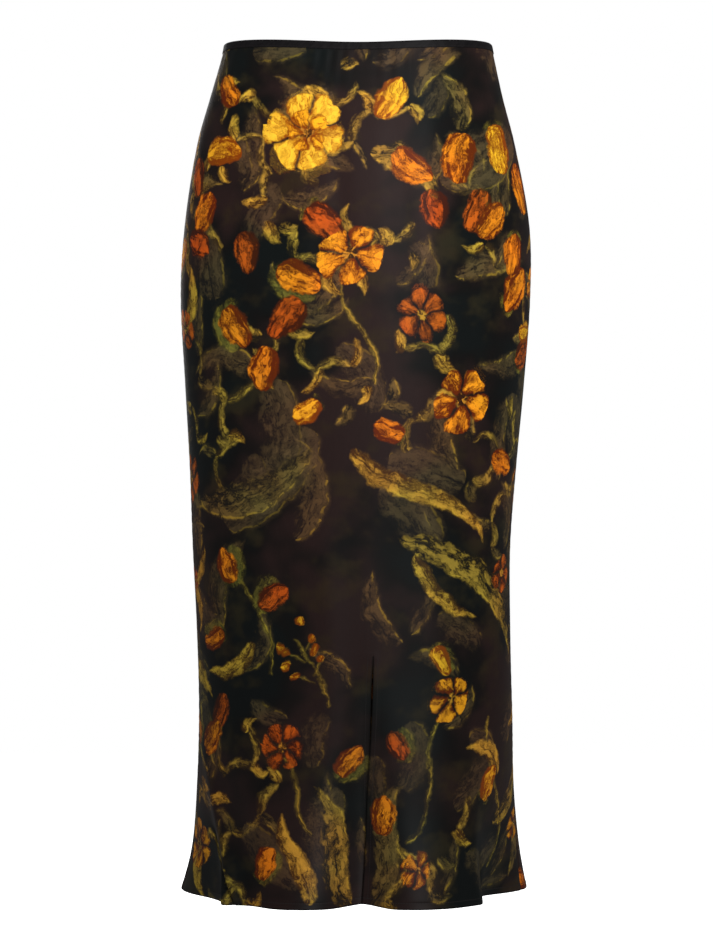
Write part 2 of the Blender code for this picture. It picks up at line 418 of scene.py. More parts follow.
def shell_mesh(name, grid, materials):
    """A closed thin shell with the grid as its outer face."""
    count = len(grid.points)
    inner = grid.points - point_normals(grid.points, grid.faces) * CLOTH_THICKNESS
    rim = rim_edges(grid.faces)
    sides = np.stack([rim[:, 1], rim[:, 0], rim[:, 0] + count, rim[:, 1] + count], axis=1)
    faces = np.concatenate([grid.faces, grid.faces[:, ::-1] + count, sides])
    obj = mesh_object(name, np.concatenate([grid.points, inner]), faces, materials)
    index = np.zeros(len(faces), np.int32)
    index[len(grid.faces) : 2 * len(grid.faces)] = 1
    obj.data.polygons.foreach_set("material_index", index)
    outer = flat_map(grid.flat[grid.faces], OUTER_PATCH)
    inside = flat_map(grid.flat[grid.faces[:, ::-1]], INNER_PATCH)
    edge = flat_map(grid.flat[sides % count], OUTER_PATCH)
    layer = obj.data.uv_layers.new(name="OFBake")
    layer.data.foreach_set("uv", np.concatenate([outer, inside, edge]).astype(np.float32).ravel())
    return obj


# ---- The print's motifs: laid out in millimetres on the flat cloth

def linear(*srgb):
    """Linear light from an sRGB colour of 0 to 255."""
    shares = [value / 255 for value in srgb]
    return tuple(c / 12.92 if c <= 0.04045 else ((c + 0.055) / 1.055) ** 2.4 for c in shares)


# How a brush lays paint. base and tip shape the outline: small is blunt, large is drawn out.
# light and dark are its two sRGB colours, body is how opaque it is, streak how streaky, rim how
# bright the edge is (a half is plain, less is dark) and ribs how clear its dark ribs are.
Brush = namedtuple("Brush", "base tip light dark body streak rim ribs")
BRUSHES = {
    name: Brush(base, tip, linear(*light), linear(*dark), *rest)
    for name, base, tip, light, dark, *rest in (
        ("gold petal", 1.0, 0.36, (246, 204, 56), (140, 74, 10), 1.0, 0.8, 0.2, 0.0),
        ("gold heart", 1.0, 0.4, (250, 184, 34), (116, 50, 8), 1.0, 0.9, 0.15, 0.0),
        ("amber petal", 1.0, 0.38, (246, 160, 32), (96, 38, 10), 1.0, 1.0, 0.1, 0.0),
        ("rust petal", 0.9, 0.42, (206, 98, 26), (58, 22, 10), 0.94, 1.0, 0.2, 0.0),
        ("gold pod", 0.42, 0.5, (250, 184, 40), (124, 60, 10), 1.0, 0.9, 0.1, 0.8),
        ("amber pod", 0.42, 0.5, (236, 138, 28), (92, 36, 10), 1.0, 1.0, 0.1, 0.9),
        ("rust pod", 0.42, 0.55, (196, 88, 24), (60, 24, 10), 0.95, 1.0, 0.1, 0.9),
        ("sepal", 0.5, 0.8, (150, 132, 48), (44, 38, 18), 0.92, 0.8, 0.3, 0.0),
        ("husk", 0.45, 0.5, (118, 108, 46), (34, 30, 18), 0.72, 0.9, 0.3, 0.0),
        ("olive leaf", 0.5, 0.85, (166, 132, 52), (30, 25, 17), 0.92, 1.1, 0.4, 0.0),
        ("moss leaf", 0.5, 0.75, (114, 94, 50), (25, 22, 18), 0.84, 1.1, 0.4, 0.0),
        ("straw leaf", 0.45, 0.9, (208, 162, 58), (68, 44, 20), 0.92, 1.0, 0.4, 0.0),
        ("dusk leaf", 0.55, 0.8, (100, 80, 50), (31, 25, 22), 0.68, 1.0, 0.5, 0.0),
        ("murk", 0.3, 0.35, (98, 80, 54), (31, 25, 22), 0.52, 1.0, 0.4, 0.0),
        ("stem", 0.12, 0.2, (150, 130, 52), (52, 40, 20), 0.9, 0.7, 0.5, 0.0),
        ("tendril", 0.3, 0.4, (172, 140, 58), (52, 38, 21), 0.86, 1.1, 0.35, 0.0),
    )
}
RAMP_SLOTS = 16  # places in a colour ramp, one for each brush

# Headings are in degrees from +u, and 90 points down the skirt. A stroke's bows say how far its
# two handles stand off its chord, as shares of its length.
Stroke = namedtuple("Stroke", "brush u0 v0 u1 v1 half_width bow_a bow_b")
Blossom = namedtuple("Blossom", "brush u v radius petals turn squash squash_turn")
# A ribbed seed pod in its husk, with sepals at its foot.
Pod = namedtuple("Pod", "brush u v length heading")
# A thin stem whose twigs end in berries.
Spray = namedtuple("Spray", "u v length heading count berry")
# Soft dim leaves strewn over a stretch of the ground.
Undergrowth = namedtuple("Undergrowth", "u0 v0 u1 v1 count length heading")
# Curling tendrils with small leaves at their joints.
Tendrils = namedtuple("Tendrils", "u0 v0 u1 v1 count")
# Posies of a flower or two pods with leaves, strewn over a stretch no closer than spacing.
Posies = namedtuple("Posies", "u0 v0 u1 v1 count spacing")

murk, dusk = partial(Stroke, "murk"), partial(Stroke, "dusk leaf")
stem, tendril = partial(Stroke, "stem"), partial(Stroke, "tendril")
olive, moss, straw = (partial(Stroke, f"{name} leaf") for name in ("olive", "moss", "straw"))
gold_pod, amber_pod, rust_pod = (partial(Pod, f"{name} pod") for name in ("gold", "amber", "rust"))
gold_flower, gold_heart = partial(Blossom, "gold petal"), partial(Blossom, "gold heart")
amber_flower, rust_flower = partial(Blossom, "amber petal"), partial(Blossom, "rust petal")

PATH_STEPS = 24
EDGE_MARGIN = 5.0  # how far past its outline a motif's faces reach, in millimetres
LAYERS = 7
UNDERGROWTH, LEAVES, OVER = 1, 3, LAYERS  # the highest layer that each kind of motif may take
TONE_SPREAD = 0.12  # how much lighter or darker one motif may be than the next
PETAL_FILL = 0.92  # how much of its sector a petal fills where it is widest
POD_SLIMNESS = 0.34  # half a pod's width, as a share of its length
SEPAL_SPREAD = 52.0
SEPAL_LENGTH = 0.46
STEM_HALF_WIDTH, TWIG_HALF_WIDTH = 1.3, 0.9


def curve(row):
    """Points down a stroke: a cubic whose handles stand off the chord by the two bows."""
    start, end = np.array([row.u0, row.v0]), np.array([row.u1, row.v1])
    along = end - start
    aside = np.array([-along[1], along[0]])
    a = start + along / 3 + aside * row.bow_a
    b = start + along * 2 / 3 + aside * row.bow_b
    t = np.linspace(0, 1, PATH_STEPS + 1)[:, None]
    return (1 - t) ** 3 * start + 3 * (1 - t) ** 2 * t * a + 3 * (1 - t) * t**2 * b + t**3 * end


def along_path(path, points):
    """How far along the path and how far to its side each point lies, and the path's length."""
    steps = np.diff(path, axis=0)
    lengths = np.linalg.norm(steps, axis=1)
    tangents = steps / lengths[:, None]
    before = np.concatenate([[0.0], np.cumsum(lengths)])
    offset = points[..., None, :] - path[:-1]
    ahead = (offset * tangents).sum(axis=-1)
    aside = offset[..., 1] * tangents[:, 0] - offset[..., 0] * tangents[:, 1]
    held = np.clip(ahead, 0.0, lengths)
    gap = np.hypot(ahead - held, aside)
    k = gap.argmin(axis=-1)[..., None]

    def nearest(values):
        return np.take_along_axis(values, k, axis=-1)[..., 0]

    k_flat, raw = k[..., 0], nearest(ahead)
    beyond = ((k_flat == 0) & (raw < 0)) | ((k_flat == len(lengths) - 1) & (raw > lengths[-1]))
    side = np.where(beyond, nearest(aside), np.sign(nearest(aside)) * nearest(gap))
    return before[k_flat] + np.where(beyond, raw, nearest(held)), side, before[-1]


def fullest(brush):
    """The greatest value of share**base * (1 - share)**tip."""
    a, b = brush.base, brush.tip
    return (a / (a + b)) ** a * (b / (a + b)) ** b


def brush_place(name):
    """Where the brush is in the ramps that hold the brushes' values."""
    return (list(BRUSHES).index(name) + 0.5) / RAMP_SLOTS


def ahead_of(u, v, length, heading):
    turn = radians(heading)
    return u + length * cos(turn), v + length * sin(turn)


class Cloth:
    """A panel's faces, on which motifs are painted in layers. A flower goes over all that is
    there; a leaf takes the lowest layer that is free."""

    def __init__(self, grid, seed):
        dice = random.Random(seed)
        self.draw, self.pick = dice.uniform, dice.choice
        self.corners = grid.flat[grid.faces]
        self.middles = self.corners.mean(axis=1)
        count = len(grid.faces)
        self.taken = np.zeros((LAYERS, count), bool)
        self.place = np.zeros((LAYERS, count, 4, 3), np.float32)
        self.size = np.zeros((LAYERS, count, 3), np.float32)
        self.form = np.zeros((LAYERS, count, 3), np.float32)

    def spot(self, row):
        """A random place in the stretch that a row covers."""
        return self.draw(row.u0, row.u1), self.draw(row.v0, row.v1)

    def free_layer(self, faces, highest):
        """The lowest free layer up to highest, or the first above all if highest is OVER. None
        stands for no such layer."""
        taken = self.taken[:, faces].any(axis=1)
        if highest == OVER:
            layer = LAYERS - int(taken[::-1].argmax()) if taken.any() else 0
            return layer if layer < LAYERS else None
        free = np.flatnonzero(~taken[: highest + 1])
        return int(free[0]) if len(free) else None

    def lay(self, brush, near, place, inside, length, width, sector, limit, highest):
        """Writes one motif onto those faces of near that have a corner inside it."""
        held = inside.any(axis=1)
        faces = near[held]
        layer = self.free_layer(faces, highest) if len(faces) else None
        if layer is None:
            return
        self.taken[layer, faces] = True
        seed = np.full(place[held].shape[:2] + (1,), self.draw(0, 100))
        self.place[layer, faces] = np.concatenate([place[held], seed], axis=-1)
        self.size[layer, faces] = (length, width / fullest(BRUSHES[brush]), brush_place(brush))
        self.form[layer, faces] = (sector, limit, self.draw(-TONE_SPREAD, TONE_SPREAD))

    def near(self, low, high, margin):
        """The faces with their middle in this box, or within margin of it."""
        within = (self.middles > low - margin) & (self.middles < high + margin)
        return np.flatnonzero(within.all(axis=1))

    def stroke(self, row, highest=LEAVES):
        brush = BRUSHES[row.brush]
        path = curve(row)
        near = self.near(path.min(axis=0), path.max(axis=0), row.half_width + EDGE_MARGIN)
        ahead, aside, length = along_path(path, self.corners[near])
        share = np.clip(ahead / length, 0.02, 0.98)
        reach = row.half_width * share**brush.base * (1 - share) ** brush.tip / fullest(brush)
        past = np.maximum(-ahead, ahead - length)
        inside = (np.abs(aside) < reach + EDGE_MARGIN) & (past < EDGE_MARGIN)
        place = np.stack([ahead, aside], axis=-1)
        self.lay(row.brush, near, place, inside, length, row.half_width, 0.0, 0.0, highest)

    def petals(self, row, sector, limit, highest):
        """Petals of a blossom's row, sector degrees apart and limit of them on each side of its
        turn. A limit past half of them closes the ring."""
        middle = np.array([row.u, row.v])
        near = self.near(middle, middle, row.radius + EDGE_MARGIN)
        offset = self.corners[near] - middle
        turn = radians(row.squash_turn)
        axis = np.array([cos(turn), sin(turn)])
        offset = offset + (offset @ axis)[..., None] * axis * (1 / row.squash - 1)
        turn = radians(row.turn)
        place = offset @ np.array([[cos(turn), -sin(turn)], [sin(turn), cos(turn)]])
        away = np.linalg.norm(offset, axis=-1)
        round_by = np.degrees(np.abs(np.arctan2(place[..., 1], place[..., 0])))
        inside = away < row.radius + EDGE_MARGIN
        inside &= (round_by < (limit + 0.75) * sector) | (away < EDGE_MARGIN + 1)
        sector = radians(sector)
        brush = BRUSHES[row.brush]
        widest_at = brush.base / (brush.base + brush.tip)
        width = row.radius * widest_at * sin(min(sector, 1.4) / 2) * PETAL_FILL
        self.lay(row.brush, near, place, inside, row.radius, width, sector, limit, highest)

    def blossom(self, row):
        self.petals(row, 360.0 / row.petals, row.petals, OVER)

    def pod(self, row):
        foot = (row.u, row.v)
        half_width = row.length * POD_SLIMNESS
        tip = ahead_of(*foot, row.length, row.heading)
        back = ahead_of(*foot, -0.12 * row.length, row.heading)
        bow = self.draw(-0.1, 0.1)
        husk_turn = row.heading + self.pick((-1, 1)) * self.draw(14, 26)
        husk_tip = ahead_of(*back, row.length * 1.12, husk_turn)
        self.stroke(Stroke("husk", *back, *husk_tip, half_width * 1.15, bow, bow))
        reach = row.length * SEPAL_LENGTH
        sepals = Blossom("sepal", *back, reach, 3, row.heading, 1.0, 0.0)
        self.petals(sepals, SEPAL_SPREAD, 1, LEAVES)
        self.stroke(Stroke(row.brush, *foot, *tip, half_width, bow, bow), OVER)

    def spray(self, row):
        end = ahead_of(row.u, row.v, row.length, row.heading)
        self.stroke(stem(row.u, row.v, *end, STEM_HALF_WIDTH, 0.12, 0.08))
        for i in range(row.count):
            share = 0.35 + 0.65 * (i + 0.5) / row.count
            foot = (row.u + (end[0] - row.u) * share, row.v + (end[1] - row.v) * share)
            heading = row.heading + (1 if i % 2 else -1) * self.draw(38, 62)
            tip = ahead_of(*foot, row.length * self.draw(0.16, 0.26), heading)
            self.stroke(stem(*foot, *tip, TWIG_HALF_WIDTH, 0.0, 0.0))
            size = row.berry * self.draw(0.75, 1.15)
            far = ahead_of(*tip, size * 2.1, heading)
            self.stroke(Stroke("gold pod", *tip, *far, size, 0.0, 0.0), OVER)

    def undergrowth(self, row):
        for _ in range(row.count):
            foot = self.spot(row)
            length = row.length * self.draw(0.6, 1.3)
            end = ahead_of(*foot, length, row.heading + self.draw(-70, 70))
            bow = self.draw(-0.3, 0.3)
            leaf, slimness = self.pick(((dusk, 0.15), (murk, 0.26)))
            self.stroke(leaf(*foot, *end, length * slimness, bow, bow), UNDERGROWTH)

    def tendrils(self, row):
        for _ in range(row.count):
            at = self.spot(row)
            heading = self.draw(0, 360)
            side = self.pick((-1, 1))
            for _ in range(self.pick((2, 3, 4))):
                length = self.draw(24, 42)
                end = ahead_of(*at, length, heading)
                bow = side * self.draw(0.16, 0.34)
                self.stroke(tendril(*at, *end, self.draw(3.0, 5.2), bow, bow))
                leaf = self.pick((olive, moss, straw))
                tip = ahead_of(*end, self.draw(18, 30), heading + side * 70)
                self.stroke(leaf(*end, *tip, self.draw(4.5, 7.0), -bow, -bow))
                at, side = end, -side
                heading += side * self.draw(30, 85)

    def posies(self, row):
        placed = []
        for _ in range(row.count * 14):
            at = self.spot(row)
            clear = all(dist(at, other) > row.spacing for other in placed)
            if clear and len(placed) < row.count:
                placed.append(at)
                self.posy(*at)

    def posy(self, u, v):
        heading = self.draw(0, 360)
        for k in range(3):
            leaf = self.pick((olive, moss, straw))
            turn = heading + 120 * k + self.draw(-25, 25)
            length = self.draw(44, 70)
            end = ahead_of(u, v, length, turn)
            bow = self.pick((-1, 1)) * self.draw(0.1, 0.35)
            self.stroke(leaf(u, v, *end, length * self.draw(0.12, 0.19), bow, bow))
        if self.draw(0, 1) < 0.5:
            flower = self.pick((amber_flower, amber_flower, rust_flower, gold_flower))
            radius = self.draw(21, 34)
            squash = self.draw(0.72, 0.95)
            self.blossom(flower(u, v, radius, self.pick((5, 6)), heading, squash, heading * 2.3))
        else:
            for k in range(2):
                pod = self.pick((amber_pod, amber_pod, rust_pod, gold_pod))
                turn = heading + 60 + 95 * k + self.draw(-15, 15)
                self.pod(pod(*ahead_of(u, v, 9, turn), self.draw(30, 42), turn))

    def paint(self, rows):
        for row in rows:
            getattr(self, type(row).__name__.lower())(row)

    def write(self, mesh):
        """Gives the motifs to a shell: its outer faces, then its inner ones, turned round."""
        rim = len(mesh.polygons) - 2 * len(self.middles)
        for layer in range(LAYERS):
            place = self.place[layer]
            place = np.concatenate([place, place[:, ::-1], np.zeros((rim, 4, 3))])
            give_attribute(mesh, f"place_{layer}", "CORNER", place)
            for name, rows in (("size", self.size[layer]), ("form", self.form[layer])):
                both = np.concatenate([rows, rows, np.zeros((rim, 3))])
                give_attribute(mesh, f"{name}_{layer}", "FACE", both)


def far_growth(upper_heading, middle_heading):
    """Dim growth far back, all over a panel."""
    return [
        Undergrowth(-225, 10, 225, 300, 60, 70, upper_heading),
        Undergrowth(-225, 300, 225, 600, 56, 76, middle_heading),
        Undergrowth(-220, 600, 220, 830, 36, 64, -90),
        Tendrils(-215, 20, 215, 330, 22),
        Tendrils(-215, 330, 215, 560, 8),
        Tendrils(-205, 660, 205, 835, 10),
    ]


FRONT_DESIGN = far_growth(-70, -120) + [
    # a broad leaf over murk, left of the thigh
    murk(-150, 470, -60, 380, 26, 0.1, 0.1),
    moss(-186, 452, -60, 398, 17, 0.22, 0.2),
    # long blades that sweep down to the right
    straw(-20, 398, 120, 492, 11, 0.16, -0.2),
    olive(30, 486, 172, 606, 15, -0.14, -0.2),
    straw(44, 500, 110, 566, 8, 0.2, 0.2),
    # upper left: the gold double flower among pods
    gold_flower(-68, 92, 48, 6, 12, 0.92, 30),
    gold_heart(-67, 91, 25, 5, 40, 0.92, 30),
    gold_pod(2, 76, 44, -58),
    amber_pod(-144, 66, 37, -120),
    amber_pod(-172, 150, 44, 120),
    rust_pod(-132, 190, 41, 80),
    gold_pod(-136, 106, 44, 170),
    rust_pod(-66, 164, 44, 40),
    amber_pod(-96, 226, 46, 20),
    # upper right: pods and a flower round one patch of murk
    murk(60, 130, 160, 90, 30, 0.1, 0.1),
    moss(84, 92, 62, 34, 12, 0.26, 0.2),
    amber_pod(88, 92, 51, 98),
    gold_pod(128, 82, 51, 80),
    amber_pod(160, 120, 51, 70),
    rust_pod(112, 148, 46, 118),
    amber_pod(152, 190, 44, 100),
    rust_flower(196, 60, 24, 5, 0, 0.8, 80),
    amber_pod(106, 196, 44, -50),
    # down the middle
    olive(-6, 110, 60, 158, 14, -0.2, -0.24),
    amber_pod(16, 110, 46, 34),
    rust_pod(56, 148, 40, 80),
    stem(0, 336, -34, 240, 2.2, 0.24, -0.1),
    amber_flower(-26, 210, 37, 5, 10, 0.86, 60),
    amber_pod(26, 188, 41, -40),
    rust_flower(46, 268, 30, 6, 20, 0.85, -20),
    rust_pod(-70, 256, 46, 130),
    amber_pod(-150, 262, 46, 60),
    amber_pod(-104, 300, 44, 100),
    gold_pod(-52, 352, 32, 150),
    # right of the middle
    amber_flower(88, 352, 36, 5, 22, 0.88, 40),
    amber_pod(138, 262, 49, -50),
    rust_pod(160, 316, 46, -30),
    amber_pod(128, 408, 36, 20),
    amber_flower(204, 236, 27, 5, 10, 0.7, 70),
    amber_pod(30, 388, 32, 200),
    # below the sweep
    stem(-100, 620, -150, 510, 2.0, 0.2, 0.1),
    straw(-120, 590, -180, 620, 9, -0.3, -0.2),
    amber_pod(-140, 530, 36, -110),
    rust_pod(-112, 552, 34, -30),
    amber_pod(-156, 580, 32, 160),
    Spray(-40, 650, 74, -120, 8, 4.4),
    Spray(140, 450, 64, -16, 7, 4.2),
    rust_flower(150, 524, 23, 5, 0, 0.8, 60),
    gold_pod(60, 590, 30, 60),
    # lower part: upright blades, small flowers and pods
    stem(170, 812, 124, 660, 2.2, 0.26, -0.2),
    olive(156, 766, 200, 700, 11, 0.3, 0.2),
    straw(148, 720, 96, 690, 9, 0.3, 0.2),
    olive(-20, 840, -56, 726, 14, -0.22, 0.26),
    moss(10, 842, 34, 724, 13, 0.22, -0.24),
    straw(-64, 838, -88, 752, 10, 0.2, -0.2),
    stem(40, 780, 74, 652, 2.0, 0.26, -0.22),
    stem(-60, 770, -84, 700, 2.0, -0.24, 0.2),
    amber_flower(76, 642, 27, 5, 20, 0.85, 40),
    rust_flower(-86, 688, 28, 6, 0, 0.86, -20),
    amber_pod(14, 772, 36, -84),
    rust_pod(34, 700, 30, -120),
    amber_pod(-30, 716, 34, -50),
    gold_pod(128, 742, 34, -70),
    rust_pod(-166, 672, 34, -70),
    amber_flower(52, 806, 20, 5, 0, 0.8, 0),
    # a soft pale patch along the hem at the right
    murk(172, 828, 214, 824, 8, 0.0, 0.0),
    amber_pod(-116, 816, 34, -60),
    # round the sides
    Posies(-232, 60, -196, 820, 8, 84),
    Posies(204, 100, 232, 820, 8, 84),
]

BACK_DESIGN = far_growth(-110, -60) + [
    # at the top: a gold double flower, and pods beside it
    straw(66, 74, 134, 46, 11, -0.3, -0.1),
    gold_flower(40, 92, 42, 6, 12, 0.9, 30),
    gold_heart(40, 92, 22, 5, 40, 0.9, 30),
    amber_pod(-96, 100, 51, 84),
    gold_pod(-134, 90, 49, 96),
    rust_pod(-160, 140, 46, 106),
    amber_pod(-70, 150, 44, 70),
    # all over
    Posies(-215, 190, 215, 400, 14, 74),
    Posies(-215, 480, 215, 640, 9, 80),
    Posies(-215, 30, 215, 60, 3, 120),
    # lower part: upright blades and small flowers
    moss(-70, 842, -92, 720, 14, 0.2, -0.24),
    straw(66, 838, 90, 756, 10, -0.2, 0.2),
    stem(100, 838, 144, 690, 2.2, 0.22, -0.2),
    Posies(-215, 670, 215, 830, 9, 84),
]


# ---- Shaders

def feed(node, values):
    """Sets a node's inputs, by name or number: links a Signal or a socket, or sets a value."""
    for key, value in values.items():
        slot = node.inputs[key]
        value = getattr(value, "socket", value)
        if isinstance(value, bpy.types.NodeSocket):
            node.id_data.links.new(value, slot)
        else:
            slot.default_value = value + (1.0,) if slot.type == "RGBA" else value


def add_node(kind, values, **settings):
    """A new node in the tree of the Signals or sockets among its values."""
    sockets = (getattr(value, "socket", value) for value in values.values())
    tree = next(socket.id_data for socket in sockets if isinstance(socket, bpy.types.NodeSocket))
    made = tree.nodes.new("ShaderNode" + kind)
    for name, value in settings.items():
        setattr(made, name, value)
    feed(made, values)
    return made


class Signal:
    """A number in a shader's node tree. Arithmetic on it adds Math nodes."""

    def __init__(self, socket):
        self.socket = socket

    def through(self, kind, *others, **settings):
        """What a new node makes of this number and the others."""
        return Signal(add_node(kind, dict(enumerate((self,) + others)), **settings).outputs[0])

    def math(self, operation, *others):
        return self.through("Math", *others, operation=operation)

    __add__ = __radd__ = partialmethod(math, "ADD")
    __sub__ = partialmethod(math, "SUBTRACT")
    __rsub__ = partialmethod(math, "MULTIPLY_ADD", -1.0)
    __mul__ = __rmul__ = partialmethod(math, "MULTIPLY")
    __truediv__ = partialmethod(math, "DIVIDE")
    __pow__ = partialmethod(math, "POWER")
    __abs__ = partialmethod(math, "ABSOLUTE")
    __gt__ = partialmethod(math, "GREATER_THAN")
    at_least = partialmethod(math, "MAXIMUM")
    at_most = partialmethod(math, "MINIMUM")
    clamped = partialmethod(through, "Clamp")

    def eased(self, start, end):
        """0 at start, 1 at end, smooth between."""
        smooth = {"interpolation_type": "SMOOTHSTEP", "clamp": False}
        return self.through("MapRange", start, end, **smooth)


def attribute(tree, name):
    made = tree.nodes.new("ShaderNodeAttribute")
    made.attribute_name = name
    return made.outputs["Vector"]


def split(vector):
    return [Signal(out) for out in add_node("SeparateXYZ", {0: vector}).outputs]


def join(*values):
    return add_node("CombineXYZ", dict(enumerate(values))).outputs[0]


def noise(vector, scale, detail=2.0, roughness=0.55):
    """The noise node's outputs, Fac and Color."""
    values = {"Vector": vector, "Scale": scale, "Detail": detail, "Roughness": roughness}
    return add_node("TexNoise", values).outputs


def noise_value(*about):
    return Signal(noise(*about)["Fac"])


def white_noise(x, y):
    """Three even random numbers for a pair of numbers."""
    values = {"Vector": join(x, y, 0.0)}
    return split(add_node("TexWhiteNoise", values, noise_dimensions="2D").outputs["Color"])


def blended(share, first, second):
    """A colour between two."""
    return add_node("Mix", {0: share, 6: first, 7: second}, data_type="RGBA").outputs[2]


def vector_math(operation, first, other, slot=1):
    return add_node("VectorMath", {0: first, slot: other}, operation=operation).outputs[0]


def scaled(colour, amount):
    return vector_math("SCALE", colour, amount, "Scale")


def of_brush(place, values):
    """The value of the brush at this place in a ramp that holds one for each brush."""
    made = add_node("ValToRGB", {0: place})
    ramp = made.color_ramp
    ramp.interpolation = "CONSTANT"
    ramp.elements.remove(ramp.elements[1])
    for k, value in enumerate(values):
        stop = ramp.elements.new(k / RAMP_SLOTS) if k else ramp.elements[0]
        stop.color = value + (1.0,)
    return made.outputs["Color"]


SEED_BROWN = linear(44, 24, 14)
SEED_OCHRE = linear(196, 138, 44)
GLINT_YELLOW = linear(232, 190, 62)
MOTIF_INPUTS = ("Place", "Size", "Form")
RING = 2.2  # petals that reach further round than this many on each side close the ring
HEART = 0.2  # the middle of a ring of petals, as a share of its radius
PETAL_SHORTER = 0.24  # how much shorter than the longest a petal may be
PETAL_WIDTH_SPREAD = 0.3
PETAL_LEAN_SPREAD = 0.2  # in radians
PETAL_GAP = 1.1  # in millimetres, as are the notch, the rim and the edges below
NOTCH_DEPTH, NOTCH_HALF_WIDTH = 2.6, 5.0
RIM_WIDTH = 5.5
FIRM_EDGE, SOFT_EDGE = 1.8, 11.0  # the blur of full paint's edge, and what thin paint adds to it
COARSE_GRAIN = (0.08, 0.15)  # streaks for each millimetre, along a motif and across it
FINE_GRAIN = (0.3, 0.5)
SIDE_LIGHT, STROKE_SIDE_LIGHT = 0.16, 0.22  # tone from side to side, and what strokes add to it
TIP_LIGHT = 0.34  # tone from foot to tip
MIDDLE_TONE = 0.6
STREAK_CONTRAST, FLECK_CONTRAST = 3.2, 1.5
PETAL_TONE_SPREAD = 0.5
RIM_CONTRAST = 1.8
WRINKLE_DARK, RIB_DARK, MIDRIB_DARK = 0.5, 0.7, 0.5
STREAK_RAGGED, FLECK_RAGGED = 3.4, 2.6  # how far both shift a motif's edge, in millimetres
NEXT_TO_NOTHING = 1e-5


def motif_group():
    """One layer of painted motifs: the colour under it goes in and the colour with the motif
    comes out. Turn is a number next to nothing that comes from the layer below. It makes the
    renderer work out one layer after another, because its memory is too small for all at once."""
    tree = bpy.data.node_groups.new("painted_motif", "ShaderNodeTree")
    for name, side, kind in (
        ("Under", "INPUT", "Color"), ("Out", "OUTPUT", "Color"),
        ("Turn", "INPUT", "Vector"), ("Next", "OUTPUT", "Vector"), ("Warp", "INPUT", "Vector"),
    ) + tuple((name, "INPUT", "Vector") for name in MOTIF_INPUTS):
        tree.interface.new_socket(name, in_out=side, socket_type="NodeSocket" + kind)
    given = tree.nodes.new("NodeGroupInput").outputs
    place, size, form = (
        vector_math("ADD", given[name], given["Turn"]) for name in MOTIF_INPUTS
    )
    ahead, aside, seed = split(place)
    warp_ahead, warp_aside, haze = split(given["Warp"])
    length, width, brush = split(size)
    sector, limit, own_light = split(form)
    outline = of_brush(brush, [(b.base, b.tip, b.ribs) for b in BRUSHES.values()])
    base, tip, ribs = split(outline)
    touch = of_brush(brush, [(b.body, b.streak, b.rim) for b in BRUSHES.values()])
    body, streaky, rim = split(touch)
    ahead = ahead + warp_ahead
    aside = aside + warp_aside

    # Petals fold the plane into the nearest petal; a stroke keeps it as it is.
    has_petals = sector > 0.01
    step = sector.at_least(0.01)
    radius = (ahead * ahead + aside * aside).math("SQRT")
    turn = aside.math("ARCTAN2", ahead)
    petal = (turn / step).math("ROUND").at_most(limit).at_least(limit * -1.0)
    turn = turn - petal * step
    own_length, own_tone, own_bend = white_noise(petal * has_petals, seed)
    bent = turn + (own_bend - 0.5) * PETAL_LEAN_SPREAD
    along = ahead + has_petals * (radius * bent.math("COSINE") - ahead)
    across = aside + has_petals * (radius * bent.math("SINE") - aside)

    length = length * (1.0 - own_length * has_petals * PETAL_SHORTER)
    share = (along / length).clamped()
    reach = width * share**base * (1.0 - share) ** tip
    reach = reach * ((own_tone - 0.5) * has_petals * PETAL_WIDTH_SPREAD + 1.0)
    past = (along * -1.0).at_least(along - length).at_least(0.0)
    gap = radius * (step * 0.5 - abs(turn)).math("SINE") - PETAL_GAP
    gap = gap + (1.0 - has_petals) * FAR
    off_middle = abs(across)
    off_notch = 1.0 - off_middle.eased(0.0, NOTCH_HALF_WIDTH)
    notch = has_petals * share.eased(0.72, 1.0) * off_notch * NOTCH_DEPTH
    inside = (reach - off_middle - past - notch).at_most(gap)

    a, b = COARSE_GRAIN
    coarse = noise_value(join(along * a, across * b, seed + own_tone * 9.0), 1.0)
    a, b = FINE_GRAIN
    flecks = noise_value(join(along * a, across * b, seed + 31.0), 1.0, 3.0, 0.7)
    # light falls on one side of each petal or leaf, and the tip is brighter than the foot
    lean = across / reach.at_least(1.0)
    is_stroke = 1.0 - has_petals
    tone = lean * (is_stroke * STROKE_SIDE_LIGHT + SIDE_LIGHT)
    tone = tone + (share - 0.5) * TIP_LIGHT + own_light + MIDDLE_TONE
    tone = tone + (coarse - 0.5) * streaky * STREAK_CONTRAST + (flecks - 0.5) * FLECK_CONTRAST
    tone = tone + (own_tone - 0.5) * has_petals * PETAL_TONE_SPREAD
    tone = tone + (1.0 - inside.eased(0.0, RIM_WIDTH)) * (rim - 0.5) * RIM_CONTRAST
    # fine dark wrinkles, a midrib that fades towards the tip, and the ribs of a pod
    wrinkle = 1.0 - abs(coarse - 0.5).eased(0.004, 0.03)
    rib = (lean * 5.2).math("COSINE").eased(-0.7, -1.0) * ribs
    midrib = (1.0 - off_middle.eased(0.2, 1.2)) * (1.0 - share) * (1.0 - ribs)
    tone = tone - wrinkle * WRINKLE_DARK - rib * RIB_DARK - midrib * MIDRIB_DARK
    light = of_brush(brush, [b.light for b in BRUSHES.values()])
    dark = of_brush(brush, [b.dark for b in BRUSHES.values()])
    colour = blended(tone.clamped(), dark, light)
    # leaves catch a yellow edge here and there on their lit side
    edge = inside.eased(0.0, 0.8) * (1.0 - inside.eased(1.6, 3.6)) * lean.eased(-0.1, 0.5)
    glint = edge * coarse.eased(0.46, 0.6) * (rim - 0.15) * (1.0 - ribs) * is_stroke * 1.6
    colour = blended(glint, colour, GLINT_YELLOW)
    spots = flecks.eased(0.58, 0.66) * (1.0 - share.eased(0.3, 0.95)) * has_petals
    colour = blended(spots * 0.8, colour, SEED_BROWN)

